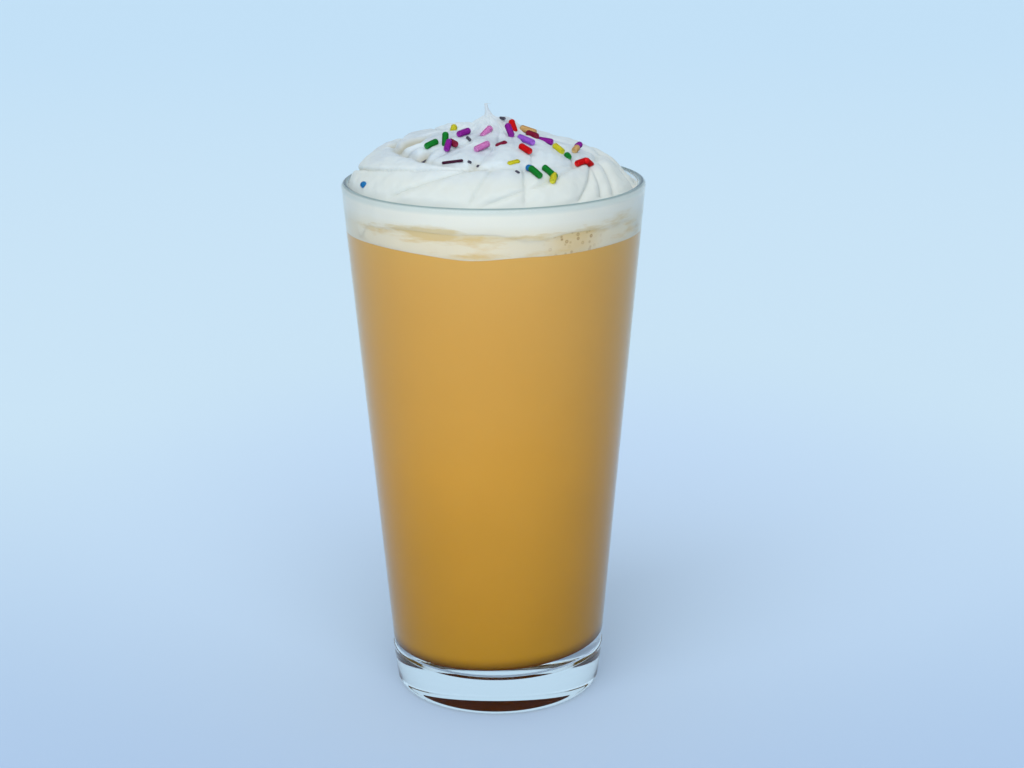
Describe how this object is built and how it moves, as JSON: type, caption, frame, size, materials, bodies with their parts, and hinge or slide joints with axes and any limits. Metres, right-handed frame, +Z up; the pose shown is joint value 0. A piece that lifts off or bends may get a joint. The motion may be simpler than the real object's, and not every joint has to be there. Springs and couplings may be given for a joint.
{
  "type": "vanilla latte in a tapered glass",
  "caption": "Tall tapered glass of milky coffee with a foam layer, topped by a piped swirl of whipped cream with coloured sprinkles.",
  "frame": {"origin": "centre of the foot, on the surface the glass stands on", "axes": "+Z up along the glass's axis; the higher shoulder of the cream is on the -X side; the front is towards -Y"},
  "size_m": [0.0904, 0.0904, 0.1826],
  "materials": {
    "clear_glass": "smooth clear glass",
    "latte": "milky coffee, opaque liquid",
    "milk_foam": "fine bubbly foam",
    "whipped_cream": "soft matt cream"
  },
  "bodies": {
    "root": {"glass": "clear_glass", "latte": "latte", "milk_foam": "milk_foam", "whipped_cream": "whipped_cream"}
  },
  "joints": []
}
